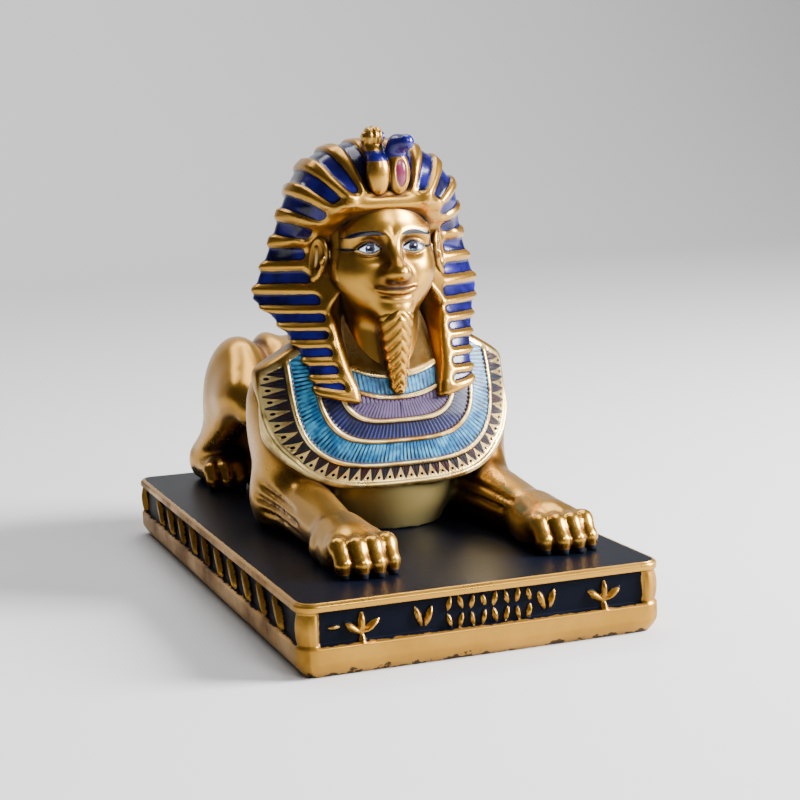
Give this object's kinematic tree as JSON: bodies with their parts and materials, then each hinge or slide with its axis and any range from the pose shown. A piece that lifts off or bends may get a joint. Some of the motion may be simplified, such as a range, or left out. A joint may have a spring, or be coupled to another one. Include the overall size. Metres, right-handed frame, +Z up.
{
  "type": "sphinx statue",
  "caption": "Cast sphinx figurine: a reclining lion with a royal head in a striped headcloth and a broad collar, on an oblong plinth with raised motifs.",
  "frame": {"origin": "centre of the plinth's underside", "axes": "+Z up, +Y toward the rump along the plinth's long side, -Y is the way the sphinx faces, +X toward the sphinx's left"},
  "size_m": [0.078, 0.15, 0.1054],
  "materials": {
    "gilt_resin": "antique gold paint over cast resin, with blue, turquoise and mauve enamel in the stripes and the collar",
    "black_resin": "semi-gloss black paint over cast resin, with gold on the rim, the foot and the motifs"
  },
  "bodies": {
    "root": {"sphinx_figure": "gilt_resin", "plinth": "black_resin"}
  },
  "joints": []
}
